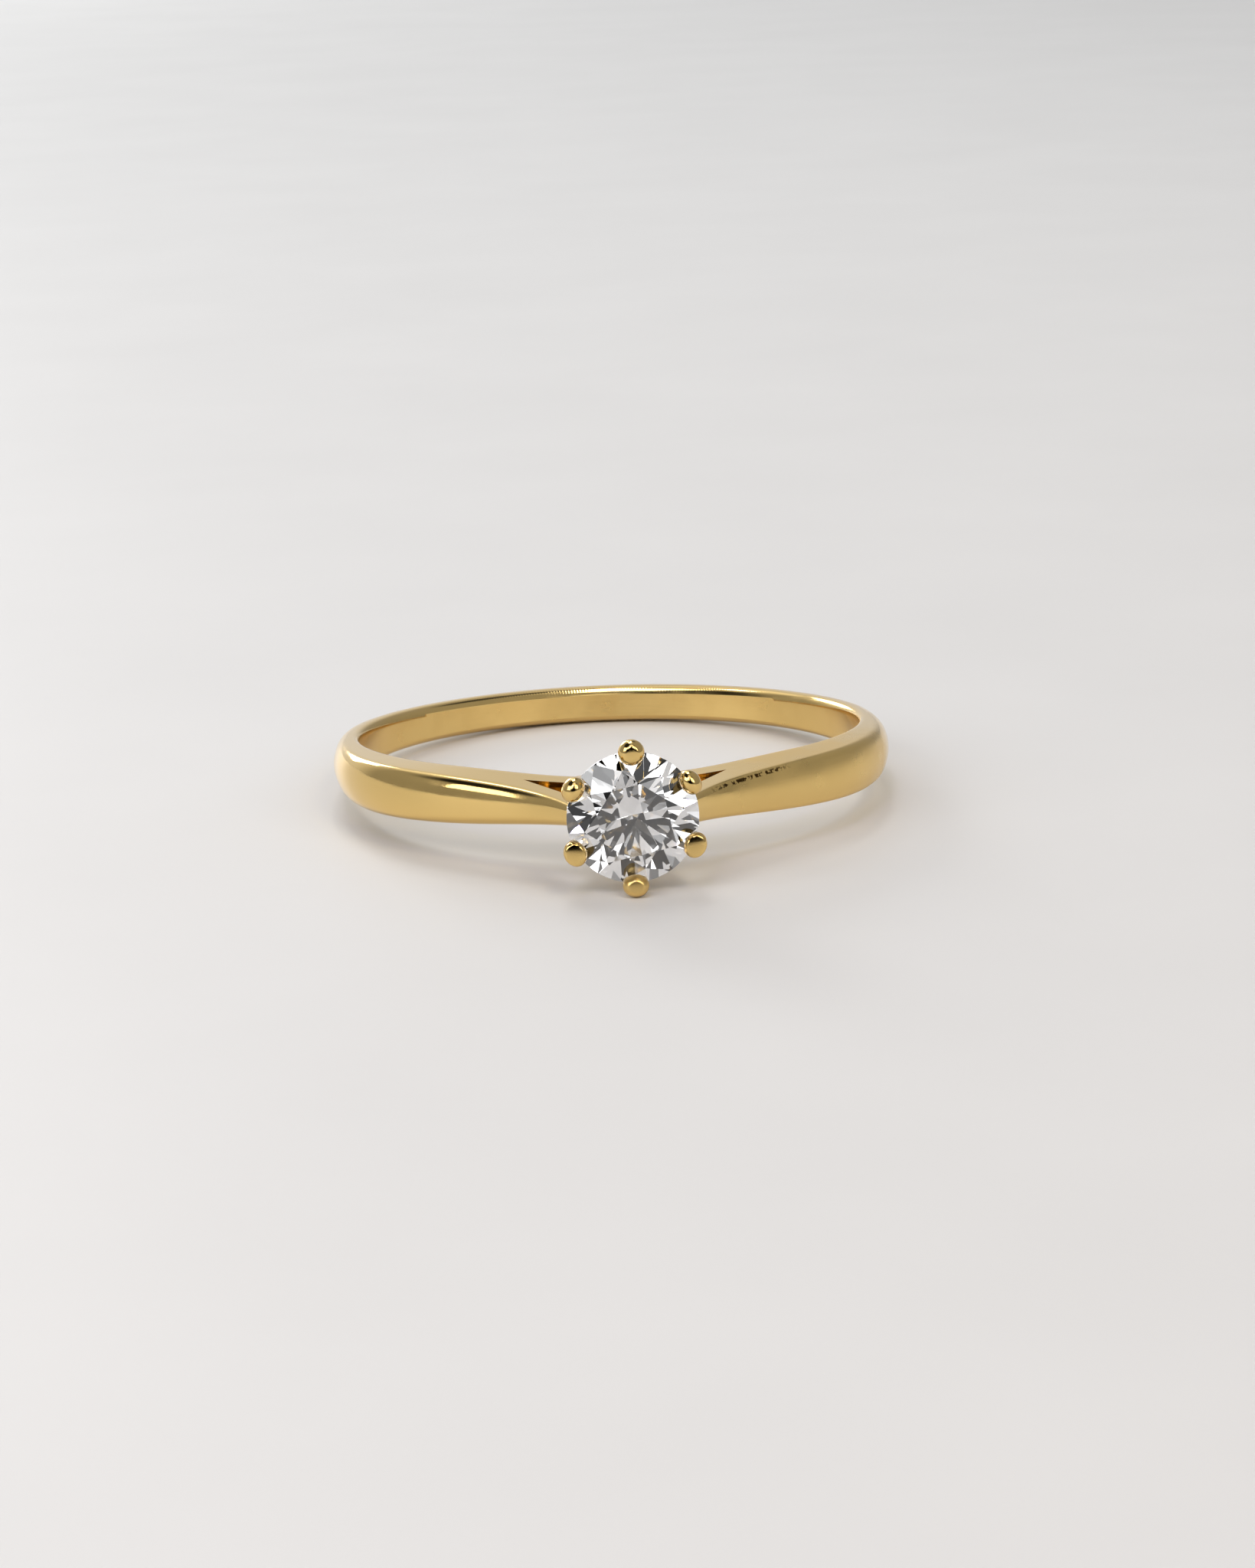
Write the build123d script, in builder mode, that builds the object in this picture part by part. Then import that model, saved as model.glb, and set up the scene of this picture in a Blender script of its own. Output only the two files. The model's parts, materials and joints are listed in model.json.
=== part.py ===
"""Six-claw solitaire engagement ring, built as the pieces that a jeweller solders together and sets.

Frame: millimetres. The finger hole's centre is the origin and its axis is +Z, because the ring lies on its
side. The head points along -Y. Angles round the hoop are measured from the head, so the back of the shank
is at 180 degrees. Heights in the head are distances from the hole's centre, along -Y.
"""

import os
from math import cos, exp, pi, radians, sin, sqrt, tan

from build123d import *

os.makedirs("parts", exist_ok=True)

# --- Driving dimensions ---------------------------------------------------------------------------------

# Finger hole and hoop
bore_radius = 8.65
side_outer_radius = 9.52
back_outer_radius = 9.85
shoulder_outer_radius = 10.15
back_half_width = 0.67
shoulder_half_width = 0.91
head_half_width = 0.64
widest_angle = 40.0
narrow_angle = 155.0
shoulder_angle = 58.0
ridge_share = 0.96
shoulder_dome_share = 0.20
hoop_dome_share = 0.38
bore_edge_round = 0.18
back_edge_height = 0.27
back_edge_depth = 0.52
hoop_ridge_round = 0.24
seam_angle = 66.0

# Forked shoulders: an arm that rises to the head, and a leaf that follows the finger
arm_tip_angle = 9.8
arm_tip_radius = 12.0
arm_top_height = 11.95
arm_sweep = 8.1
arm_tip_thickness = 1.12
ridge_end_angle = 7.0
# The two arms were filed by hand: half the height of each one's tip, and the rounding of its outer edges.
arm_shapes = {"right": (0.36, 0.14), "left": (0.20, 0.26)}
leaf_thickness = 0.85
slit_root_angle = 20.3
leaf_end_angle = 9.5

# Round brilliant stone
stone_diameter = 4.2
girdle_height = 12.45
girdle_thickness = 0.12
table_share = 0.57
crown_angle = 34.5
pavilion_angle = 40.75
star_length = 0.50
lower_half_length = 0.77
stone_turn = 11.0

# Head: a base with its peg, a gallery ring and six claws
bridge_top_height = 9.40
base_radius = 1.05
base_top_height = 9.90
base_edge_round = 0.12
peg_radius = 0.42
peg_depth = 0.5
gallery_outer_radius = 1.72
gallery_inner_radius = 1.30
gallery_low = 10.95
gallery_high = 11.50
gallery_edge_round = 0.12
claw_foot_radius = 0.98
claw_wire_foot = 0.33
claw_wire_top = 0.40
claw_bead_radius = 2.14
claw_bead_height = 12.80
bead_size = 0.42
claw_turns = {
    "claw_top": 0,
    "claw_upper_right": 60,
    "claw_lower_right": 120,
    "claw_bottom": 180,
    "claw_lower_left": 240,
    "claw_upper_left": 300,
}

# --- Worked-out dimensions ------------------------------------------------------------------------------

# The bar starts a hair inside the finger hole, so that boring it leaves one true round wall.
bar_floor = bore_radius - 0.02
leaf_outer_radius = bore_radius + leaf_thickness
stone_radius = stone_diameter / 2
table_radius = stone_radius * table_share
girdle_top = girdle_height + girdle_thickness / 2
girdle_bottom = girdle_height - girdle_thickness / 2
crown_slope = tan(radians(crown_angle))
pavilion_slope = tan(radians(pavilion_angle))
table_height = girdle_top + (stone_radius - table_radius) * crown_slope
culet_height = girdle_bottom - stone_radius * pavilion_slope
crown_half_corner = pi / 8

# The head's plane: its normal is the head's axis, and its offset is the height above the hole's centre.
head_plane = Plane(origin=(0, 0, 0), x_dir=(1, 0, 0), z_dir=(0, -1, 0))


def hoop_point(angle, radius):
    """A point in the ring's plane, at an angle from the head."""
    return (radius * sin(radians(angle)), -radius * cos(radians(angle)))


def head_point(radius, turn, height):
    """A point in the head: its distance from the head's axis, its turn from +Z and its height."""
    return Vector(radius * sin(radians(turn)), -height, radius * cos(radians(turn)))


def outer_radius(angle):
    """The hoop's outside: swept up to the head, full at the shoulders, thin at the sides, thicker behind."""
    past_shoulder = min(max((angle - 45) / 50, 0), 1)
    behind = max(angle - 90, 0) / 90
    hoop = side_outer_radius
    hoop += (shoulder_outer_radius - side_outer_radius) * cos(past_shoulder * pi / 2) ** 2
    hoop += (back_outer_radius - side_outer_radius) * sin(behind * pi / 2) ** 2
    rise = (arm_tip_radius - shoulder_outer_radius) * exp((arm_tip_angle - angle) / arm_sweep)
    if angle < shoulder_angle:
        return min(hoop + rise, arm_top_height / cos(radians(angle)))
    return hoop + rise


def bore_half_width(angle):
    """Half the band's width at the finger: widest at the shoulders, narrow behind and under the head."""
    if angle > widest_angle:
        share = min((angle - widest_angle) / (narrow_angle - widest_angle), 1)
        return back_half_width + (shoulder_half_width - back_half_width) * (1 + cos(share * pi)) / 2
    share = angle / widest_angle
    return shoulder_half_width - (shoulder_half_width - head_half_width) * (1 + cos(share * pi)) / 2


def blend(angle, start, end, low, high):
    """A size that changes smoothly from one angle to another."""
    share = min(max((angle - start) / (end - start), 0), 1)
    return low + (high - low) * share * share * (3 - 2 * share)


def ridge_half_width(angle, tip_half_width):
    """Half the width of the outer face, which narrows like a leaf's tip towards the head."""
    full = ridge_share * bore_half_width(max(angle, shoulder_angle))
    if angle > shoulder_angle:
        return full
    share = (shoulder_angle - angle) / (shoulder_angle - ridge_end_angle)
    share = min(share, 1)
    return sqrt(full**2 * (1 - share**2) + tip_half_width**2 * share**2)


def radial_plane(angle):
    """The plane across the hoop at an angle: local x runs outwards, local y along the finger."""
    outward = (sin(radians(angle)), -cos(radians(angle)), 0)
    return Plane(origin=(0, 0, 0), x_dir=outward, z_dir=(outward[1], -outward[0], 0))


def band_section(station, tip_half_width=0.36, arm_round=0.14):
    """The bar's section at an angle: flat at the finger, bevelled, with sloping sides and a domed outside."""
    angle = min(abs(station), 360 - abs(station))
    wide = bore_half_width(angle)
    ridge = ridge_half_width(angle, tip_half_width)
    rim = outer_radius(angle)
    crest = rim - blend(angle, 45, 95, shoulder_dome_share, hoop_dome_share) * ridge
    edge_height = blend(angle, 60, 180, bore_edge_round, back_edge_height)
    edge_depth = blend(angle, 60, 180, bore_edge_round, back_edge_depth)
    edge_lean = blend(angle, 60, 150, 0.0, 0.35)
    ridge_round = blend(angle, 40, 64, arm_round, hoop_ridge_round)
    low = bore_radius + edge_depth
    high = crest - ridge_round
    side_slope = (ridge - wide) / (crest - bore_radius)
    wide_low = wide + side_slope * (low - bore_radius)
    wide_high = wide + side_slope * (high - bore_radius)
    corner = (bar_floor + edge_lean * edge_depth, wide - edge_lean * 0.5 * edge_height)
    dome_edge = ridge - min(ridge_round, 0.5 * ridge)
    dome_start = rim - (rim - crest) * (dome_edge / ridge) ** 2
    with BuildSketch(radial_plane(station)) as section:
        with BuildLine():
            Line((bar_floor, edge_height - wide), (bar_floor, wide - edge_height))
            Bezier((bar_floor, wide - edge_height), corner, (low, wide_low))
            Line((low, wide_low), (high, wide_high))
            Bezier((high, wide_high), (crest, ridge), (dome_start, dome_edge))
            ThreePointArc((dome_start, dome_edge), (rim, 0), (dome_start, -dome_edge))
            Bezier((dome_start, -dome_edge), (crest, -ridge), (high, -wide_high))
            Line((high, -wide_high), (low, -wide_low))
            Bezier((low, -wide_low), (corner[0], -corner[1]), (bar_floor, edge_height - wide))
        make_face()
    return section.sketch


def facet_plane(first, second, third):
    """The plane through three points of the stone, with its normal away from the stone's middle."""
    normal = (second - first).cross(third - first)
    outward = first - head_point(0, 0, girdle_height)
    return Plane(origin=first, z_dir=normal if normal.dot(outward) > 0 else normal * -1)


def save(part, label):
    """Labels a finished piece and writes its STEP file."""
    part.label = label
    export_step(part, f"parts/{label}.step")
    print(label, "solids", len(part.solids()), "volume", round(part.volume, 3), "valid", part.is_valid)


# --- Diamond: a round brilliant with a table, 32 crown facets, a bruted girdle and 24 pavilion facets -----

with BuildPart() as diamond:
    with BuildSketch(head_plane.offset(culet_height)):
        Circle(stone_radius)
    extrude(amount=table_height - culet_height)
    for main in range(8):
        turn = stone_turn + 45 * main
        across = stone_radius * cos(crown_half_corner)
        for side in (-22.5, 22.5):
            girdle_main = head_point(stone_radius, turn, girdle_top)
            girdle_corner = head_point(stone_radius, turn + side, girdle_top)
            table_mid = table_radius * cos(crown_half_corner)
            star_radius = table_mid + star_length * (stone_radius - table_mid)
            star_height = girdle_top + (stone_radius - star_radius * cos(crown_half_corner)) * crown_slope
            star_tip = head_point(star_radius, turn + side, star_height)
            split(bisect_by=facet_plane(girdle_main, girdle_corner, star_tip), keep=Keep.BOTTOM)
            if side > 0:
                corner = head_point(table_radius, turn, table_height)
                next_corner = head_point(table_radius, turn + 45, table_height)
                split(bisect_by=facet_plane(corner, next_corner, star_tip), keep=Keep.BOTTOM)
            keel_main = head_point(stone_radius, turn, girdle_bottom)
            keel_corner = head_point(stone_radius, turn + side, girdle_bottom)
            keel_radius = stone_radius * (1 - lower_half_length)
            keel_height = culet_height + keel_radius * cos(crown_half_corner) * pavilion_slope
            keel_tip = head_point(keel_radius, turn + side, keel_height)
            split(bisect_by=facet_plane(keel_main, keel_corner, keel_tip), keep=Keep.BOTTOM)
        crown_low = head_point(stone_radius, turn, girdle_top)
        crown_normal = head_point(sin(radians(crown_angle)), turn, cos(radians(crown_angle)))
        split(bisect_by=Plane(origin=crown_low, z_dir=crown_normal), keep=Keep.BOTTOM)
        keel_low = head_point(stone_radius, turn, girdle_bottom)
        keel_normal = head_point(sin(radians(pavilion_angle)), turn, -cos(radians(pavilion_angle)))
        split(bisect_by=Plane(origin=keel_low, z_dir=keel_normal), keep=Keep.BOTTOM)

# --- Hoop: the shank runs round the back, from one seam to the other --------------------------------------

shank_stations = [seam_angle, 78, 92, 107, 122, 137, 152, 167, 180, 193, 208, 223, 238, 253, 268, 282]
with BuildPart() as shank:
    loft(sections=[band_section(station) for station in shank_stations + [360 - seam_angle]])
    with BuildSketch(Plane.XY.offset(-2)):
        Circle(bore_radius)
    extrude(amount=4, mode=Mode.SUBTRACT)

# --- Bridge: closes the hoop under the head, with a flat for the head and a blind hole for its peg --------

with BuildPart() as bridge:
    bridge_stations = [-leaf_end_angle, -6, -3, 0, 3, 6, leaf_end_angle]
    loft(sections=[band_section(station) for station in bridge_stations])
    with BuildSketch(Plane.XY.offset(-2)):
        Circle(bore_radius)
    extrude(amount=4, mode=Mode.SUBTRACT)
    split(bisect_by=head_plane.offset(bridge_top_height), keep=Keep.BOTTOM)
    with BuildSketch(head_plane.offset(bridge_top_height - peg_depth)):
        Circle(peg_radius)
    extrude(amount=peg_depth, mode=Mode.SUBTRACT)

# --- Shoulders: each is sawn into an arm and a leaf, and its arm is butted against the gallery ring --------

slit_root = hoop_point(slit_root_angle, leaf_outer_radius)
arm_under_tip = hoop_point(arm_tip_angle, arm_tip_radius - arm_tip_thickness)
slit_run = 1.5
slit_end = (
    slit_root[0] + slit_run * (arm_under_tip[0] - slit_root[0]),
    slit_root[1] + slit_run * (arm_under_tip[1] - slit_root[1]),
)
leaf_middle_angle = (slit_root_angle + leaf_end_angle) / 2

shoulders = {}
for side_name, arm_shape in arm_shapes.items():
    with BuildPart() as shoulder:
        shoulder_stations = [6.4, 9, 12, 16, 21, 28, 37, 48, 57, seam_angle]
        loft(sections=[band_section(station, *arm_shape) for station in shoulder_stations])
        with BuildSketch(Plane.XY.offset(-2)):
            Circle(bore_radius)
            with BuildLine():
                Line(slit_root, slit_end)
                Polyline(slit_end, (0, slit_end[1]), (0, -8), hoop_point(leaf_end_angle, 8))
                Line(hoop_point(leaf_end_angle, 8), hoop_point(leaf_end_angle, leaf_outer_radius))
                ThreePointArc(
                    hoop_point(leaf_end_angle, leaf_outer_radius),
                    hoop_point(leaf_middle_angle, leaf_outer_radius),
                    slit_root,
                )
            make_face()
        extrude(amount=4, mode=Mode.SUBTRACT)
        with BuildSketch(head_plane.offset(10.5)):
            Circle(gallery_outer_radius)
        extrude(amount=3, mode=Mode.SUBTRACT)
        if side_name == "left":
            mirror(about=Plane.YZ, mode=Mode.REPLACE)
    shoulders[side_name] = shoulder.part

# --- Head: base with its peg, gallery ring, and claws notched to the stone --------------------------------

with BuildPart() as head_base:
    with BuildSketch(head_plane.offset(bridge_top_height)):
        Circle(base_radius)
    extrude(amount=base_top_height - bridge_top_height)
    top_edge = head_base.edges().group_by(Axis.Y)[0]
    fillet(top_edge, radius=base_edge_round)
    with BuildSketch(head_plane.offset(bridge_top_height - peg_depth)):
        Circle(peg_radius)
    extrude(amount=peg_depth)

with BuildPart() as gallery_ring:
    with BuildSketch(head_plane.offset(gallery_low)):
        Circle(gallery_outer_radius)
        Circle(gallery_inner_radius, mode=Mode.SUBTRACT)
    extrude(amount=gallery_high - gallery_low)
    fillet(gallery_ring.edges().filter_by(GeomType.CIRCLE), radius=gallery_edge_round)

# The seat that the setter cuts: cones that just clear the facets, and a wall that grips the girdle.
seat_crown_rise = (star_height - girdle_top) / (stone_radius - star_radius) * stone_radius
seat_pavilion_drop = (girdle_bottom - keel_height) / (stone_radius - keel_radius) * stone_radius
with BuildPart() as seat:
    with BuildSketch(Plane.XY):
        with BuildLine():
            Polyline(
                (0, -girdle_bottom + seat_pavilion_drop),
                (stone_radius, -girdle_bottom),
                (stone_radius, -girdle_top),
                (0, -girdle_top - seat_crown_rise),
                close=True,
            )
        make_face()
    revolve(axis=Axis.Y)

# A claw is turned about its own leaning axis: a wire that widens to a bead.
foot = head_point(claw_foot_radius, 0, bridge_top_height)
bead = head_point(claw_bead_radius, 0, claw_bead_height)
lean = (bead - foot).normalized()
wire_length = (bead - foot).length
neck = wire_length - sqrt(bead_size**2 - claw_wire_top**2)
bead_share = bead_size * cos(pi / 4)
with BuildPart() as claw_pattern:
    with BuildSketch(Plane(origin=foot, x_dir=lean, z_dir=(1, 0, 0))):
        with BuildLine():
            Polyline((wire_length + bead_size, 0), (-0.4, 0), (-0.4, claw_wire_foot), (neck, claw_wire_top))
            ThreePointArc(
                (neck, claw_wire_top),
                (wire_length + bead_share, bead_share),
                (wire_length + bead_size, 0),
            )
        make_face()
    revolve(axis=Axis(origin=foot, direction=lean))
    split(bisect_by=head_plane.offset(bridge_top_height), keep=Keep.TOP)
    add(seat.part, mode=Mode.SUBTRACT)
    add(gallery_ring.part, mode=Mode.SUBTRACT)
    add(head_base.part, mode=Mode.SUBTRACT)

claws = {}
for claw_name, turn in claw_turns.items():
    with BuildPart() as claw:
        add(claw_pattern.part, rotation=(0, turn, 0))
    claws[claw_name] = claw.part

# --- Write every piece ------------------------------------------------------------------------------------

save(shank.part, "shank")
save(shoulders["right"], "right_shoulder")
save(shoulders["left"], "left_shoulder")
save(bridge.part, "bridge")
save(head_base.part, "head_base")
save(gallery_ring.part, "gallery_ring")
for claw_name, claw_part in claws.items():
    save(claw_part, claw_name)
save(diamond.part, "diamond")
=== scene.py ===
"""Six-claw solitaire engagement ring in yellow gold, lying on its side on a pale table."""

import json
from math import atan2, cos, exp, hypot, pi, radians, sin, sqrt, tan

import bmesh
import bpy
from mathutils import Matrix, Vector

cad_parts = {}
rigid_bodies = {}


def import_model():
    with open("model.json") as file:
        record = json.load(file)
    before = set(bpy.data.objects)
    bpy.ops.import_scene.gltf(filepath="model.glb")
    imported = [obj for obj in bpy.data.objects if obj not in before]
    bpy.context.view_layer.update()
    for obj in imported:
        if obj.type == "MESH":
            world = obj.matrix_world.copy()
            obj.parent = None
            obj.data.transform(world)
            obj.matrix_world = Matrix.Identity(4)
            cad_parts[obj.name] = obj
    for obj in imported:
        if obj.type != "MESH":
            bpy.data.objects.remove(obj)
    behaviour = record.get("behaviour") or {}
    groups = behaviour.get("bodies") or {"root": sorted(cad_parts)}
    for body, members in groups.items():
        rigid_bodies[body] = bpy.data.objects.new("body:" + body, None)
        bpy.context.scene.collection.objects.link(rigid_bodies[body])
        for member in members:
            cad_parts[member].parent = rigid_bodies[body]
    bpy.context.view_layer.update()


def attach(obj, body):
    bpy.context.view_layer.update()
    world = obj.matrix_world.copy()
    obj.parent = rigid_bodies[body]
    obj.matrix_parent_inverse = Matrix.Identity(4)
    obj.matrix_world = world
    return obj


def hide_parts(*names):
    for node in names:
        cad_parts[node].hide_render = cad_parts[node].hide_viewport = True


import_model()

MM = 0.001

# --- Sizes, in millimetres and degrees ---------------------------------------------------------------------
# Angles round the hoop are measured from the head. Heights in the head are distances from the finger
# hole's centre, along -Y.

# Hoop: radii, half widths, and the angles where they change
BORE_RADIUS = 8.65
SIDE_OUTER_RADIUS = 9.52
BACK_OUTER_RADIUS = 9.85
SHOULDER_OUTER_RADIUS = 10.15
BACK_HALF_WIDTH = 0.67
SHOULDER_HALF_WIDTH = 0.91
HEAD_HALF_WIDTH = 0.64
WIDEST_ANGLE = 40.0
NARROW_ANGLE = 155.0
FULL_SHOULDER_ANGLE = 45.0
THIN_SIDE_ANGLE = 95.0
SHOULDER_ANGLE = 58.0
SEAM_ANGLE = 66.0
LEVEL_ANGLE = 10.0  # from this far before the seam, the row at the slit's level keeps within the side face

# Section: the outer face's width beside the band's, its dome's rise beside its half width, and the rounds.
# The hands are 1 for the right shoulder and -1 for the left, whose ridge was filed rounder.
RIDGE_SHARE = 0.96
SHOULDER_DOME_SHARE = 0.20
HOOP_DOME_SHARE = 0.38
SHOULDER_RIDGE_ROUNDS = {1: 0.14, -1: 0.26}
HOOP_RIDGE_ROUND = 0.24
RIDGE_ROUND_ANGLES = (40, 64)

# Comfort bevel at the finger, which grows from the seam to the back
BORE_EDGE_ROUND = 0.18
BACK_EDGE_HEIGHT = 0.27
BACK_EDGE_DEPTH = 0.52
BACK_EDGE_LEAN = 0.35
BEVEL_START_ANGLE = 60
FULL_LEAN_ANGLE = 150

# Shoulders: an arm swept up to the head, a slit below it, and a leaf at the finger
ARM_TIP_ANGLE = 9.8
ARM_TIP_RADIUS = 12.0
ARM_TOP_HEIGHT = 11.95
ARM_SWEEP = 8.1
ARM_TIP_THICKNESS = 1.12
ARM_END_ANGLE = 8.3
RIDGE_END_ANGLE = 7.0
RIDGE_TIP_HALF_WIDTHS = {1: 0.36, -1: 0.20}
LEAF_OUTER_RADIUS = 9.5
SLIT_ROOT_ANGLE = 20.3
LEAF_END_ANGLE = 9.5

# Stone: the proportions of a round brilliant cut
STONE_RADIUS = 2.1
GIRDLE_HEIGHT = 12.45
GIRDLE_THICKNESS = 0.12
TABLE_SHARE = 0.57
CROWN_ANGLE = 34.5
PAVILION_ANGLE = 40.75
STAR_LENGTH = 0.50
LOWER_HALF_LENGTH = 0.77
STONE_TURN = 11.0

# Head: a base on the bridge, a gallery ring, and six claws
BRIDGE_TOP_HEIGHT = 9.40
BASE_RADIUS = 1.05
BASE_TOP_HEIGHT = 9.90
BASE_DISH = 0.06
TURNED_EDGE_ROUND = 0.12
GALLERY_OUTER_RADIUS = 1.72
GALLERY_INNER_RADIUS = 1.30
GALLERY_LOW = 10.95
GALLERY_HIGH = 11.50
CLAW_FOOT_RADIUS = 0.98
CLAW_WIRE_FOOT = 0.33
CLAW_WIRE_TOP = 0.40
CLAW_ROOT = 0.10  # how far the wire runs past its foot, before it is levelled on the bridge
CLAW_BEAD_RADIUS = 2.14
CLAW_BEAD_HEIGHT = 12.80
BEAD_SIZE = 0.42
BEAD_START_TURN = 34
WIRE_END_SHARE = 0.9  # how much of the bead's radius lies between the wire's end and the bead's middle
BEAD_NECK_HEIGHT = 11.9
PRESSED_LENGTH = 0.5
PRESSED_SHARE = 0.2
SEAT_CROWN_SLOPE = 0.87
SEAT_PAVILION_SLOPE = 0.89
SEAT_CLEARANCE = 0.005

# Where each claw stands, as its turn round the head's axis
CLAW_TURNS = {
    "claw_top": 0,
    "claw_upper_right": 60,
    "claw_lower_right": 120,
    "claw_bottom": 180,
    "claw_lower_left": 240,
    "claw_upper_left": 300,
}
# How each claw was pressed: its bead's radial squeeze, the height that is left above the bead's middle,
# and how far the end is bent round the stone, in degrees.
CLAW_PRESSES = {
    "claw_top": (1.0, 0.36, 0.0),
    "claw_upper_right": (0.78, 0.42, -1.0),
    "claw_lower_right": (0.84, 0.22, -4.5),
    "claw_bottom": (0.86, 0.34, 0.0),
    "claw_lower_left": (0.86, 0.22, 1.5),
    "claw_upper_left": (0.84, 0.42, -1.0),
}

# Wear and tool marks: the file strokes' spacing, and the rise along Z of the right shoulder's worn edge
FILE_MARK_SPACING = 0.12
RIGHT_EDGE_SLOPE = 0.092

GIRDLE_TOP = GIRDLE_HEIGHT + GIRDLE_THICKNESS / 2
GIRDLE_BOTTOM = GIRDLE_HEIGHT - GIRDLE_THICKNESS / 2
TABLE_RADIUS = STONE_RADIUS * TABLE_SHARE
CROWN_SLOPE = tan(radians(CROWN_ANGLE))
PAVILION_SLOPE = tan(radians(PAVILION_ANGLE))
TABLE_HEIGHT = GIRDLE_TOP + (STONE_RADIUS - TABLE_RADIUS) * CROWN_SLOPE
CULET_HEIGHT = GIRDLE_BOTTOM - STONE_RADIUS * PAVILION_SLOPE
NOTCH_START_HEIGHT = CULET_HEIGHT + 0.5

# --- Places ------------------------------------------------------------------------------------------------


def hoop_point(angle, radius, along=0.0):
    """A point of the hoop in metres, from an angle from the head, a radius and a place along Z."""
    return Vector((radius * sin(radians(angle)), -radius * cos(radians(angle)), along)) * MM


def head_point(radius, turn, height):
    """A point of the head in metres, from a distance from the head's axis, a turn from +Z and a height."""
    return Vector((radius * sin(radians(turn)), -height, radius * cos(radians(turn)))) * MM


def outer_radius(angle):
    """The hoop's outside: swept up to the head, full at the shoulders, thin at the sides, thicker behind."""
    past_shoulder = (angle - FULL_SHOULDER_ANGLE) / (THIN_SIDE_ANGLE - FULL_SHOULDER_ANGLE)
    past_shoulder = min(max(past_shoulder, 0), 1)
    behind = max(angle - 90, 0) / 90
    hoop = SIDE_OUTER_RADIUS
    hoop += (SHOULDER_OUTER_RADIUS - SIDE_OUTER_RADIUS) * cos(past_shoulder * pi / 2) ** 2
    hoop += (BACK_OUTER_RADIUS - SIDE_OUTER_RADIUS) * sin(behind * pi / 2) ** 2
    rise = (ARM_TIP_RADIUS - SHOULDER_OUTER_RADIUS) * exp((ARM_TIP_ANGLE - angle) / ARM_SWEEP)
    if angle < SHOULDER_ANGLE:
        return min(hoop + rise, ARM_TOP_HEIGHT / cos(radians(angle)))
    return hoop + rise


def bore_half_width(angle):
    """Half the band's width at the finger: widest at the shoulders, narrow behind and under the head."""
    if angle > WIDEST_ANGLE:
        share = min((angle - WIDEST_ANGLE) / (NARROW_ANGLE - WIDEST_ANGLE), 1)
        return BACK_HALF_WIDTH + (SHOULDER_HALF_WIDTH - BACK_HALF_WIDTH) * (1 + cos(share * pi)) / 2
    share = angle / WIDEST_ANGLE
    return SHOULDER_HALF_WIDTH - (SHOULDER_HALF_WIDTH - HEAD_HALF_WIDTH) * (1 + cos(share * pi)) / 2


def blend(angle, start, end, low, high):
    """A size that changes smoothly from one angle to another."""
    share = min(max((angle - start) / (end - start), 0), 1)
    return low + (high - low) * share * share * (3 - 2 * share)


def bore_edge(angle):
    """The comfort bevel at the finger: its height, its depth and the corner that its curve leans on."""
    height = blend(angle, BEVEL_START_ANGLE, 180, BORE_EDGE_ROUND, BACK_EDGE_HEIGHT)
    depth = blend(angle, BEVEL_START_ANGLE, 180, BORE_EDGE_ROUND, BACK_EDGE_DEPTH)
    lean = blend(angle, BEVEL_START_ANGLE, FULL_LEAN_ANGLE, 0.0, BACK_EDGE_LEAN)
    return height, depth, (BORE_RADIUS + lean * depth, bore_half_width(angle) - lean * 0.5 * height)


def ridge_half_width(angle, hand=1):
    """Half the width of the outer face, which narrows like a leaf's tip towards the head."""
    full = RIDGE_SHARE * bore_half_width(max(angle, SHOULDER_ANGLE))
    if angle > SHOULDER_ANGLE:
        return full
    share = min((SHOULDER_ANGLE - angle) / (SHOULDER_ANGLE - RIDGE_END_ANGLE), 1)
    return sqrt(full**2 * (1 - share**2) + RIDGE_TIP_HALF_WIDTHS[hand] ** 2 * share**2)


def ridge_radius(angle, hand=1):
    """Where the side face meets the dome, which is flat on the shoulders and rounder at the sides."""
    dome_share = blend(angle, FULL_SHOULDER_ANGLE, THIN_SIDE_ANGLE, SHOULDER_DOME_SHARE, HOOP_DOME_SHARE)
    return outer_radius(angle) - dome_share * ridge_half_width(angle, hand)


def side_half_width(angle, radius, hand=1):
    """Half the band's width at one radius, on the flat side face."""
    reach = (radius - BORE_RADIUS) / (ridge_radius(angle, hand) - BORE_RADIUS)
    low, high = bore_half_width(angle), ridge_half_width(angle, hand)
    return low + (high - low) * reach


def slit_radius(angle):
    """The arm's underside at an angle: a straight saw cut from the slit's root up to the arm's tip."""
    root = hoop_point(SLIT_ROOT_ANGLE, LEAF_OUTER_RADIUS)
    tip = hoop_point(ARM_TIP_ANGLE, ARM_TIP_RADIUS - ARM_TIP_THICKNESS)
    ray = hoop_point(angle, 1.0)
    run = tip - root
    return (root.x * run.y - root.y * run.x) / (ray.x * run.y - ray.y * run.x)


def leaf_radius(angle):
    """The leaf's outside, which is the same at every angle."""
    return LEAF_OUTER_RADIUS


# --- Mesh tools --------------------------------------------------------------------------------------------


def new_piece(name, bm, material, replaces, sharp=38.0):
    """Makes a bmesh into a smooth-shaded piece on the ring's one body, in place of its CAD node."""
    bmesh.ops.remove_doubles(bm, verts=bm.verts, dist=1e-7)
    bmesh.ops.recalc_face_normals(bm, faces=bm.faces)
    mesh = bpy.data.meshes.new(name)
    bm.to_mesh(mesh)
    bm.free()
    for face in mesh.polygons:
        face.use_smooth = True
    mesh.set_sharp_from_angle(angle=radians(sharp))
    piece = bpy.data.objects.new(name, mesh)
    bpy.context.scene.collection.objects.link(piece)
    mesh.materials.append(material)
    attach(piece, "root")
    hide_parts(replaces)
    return piece


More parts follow.
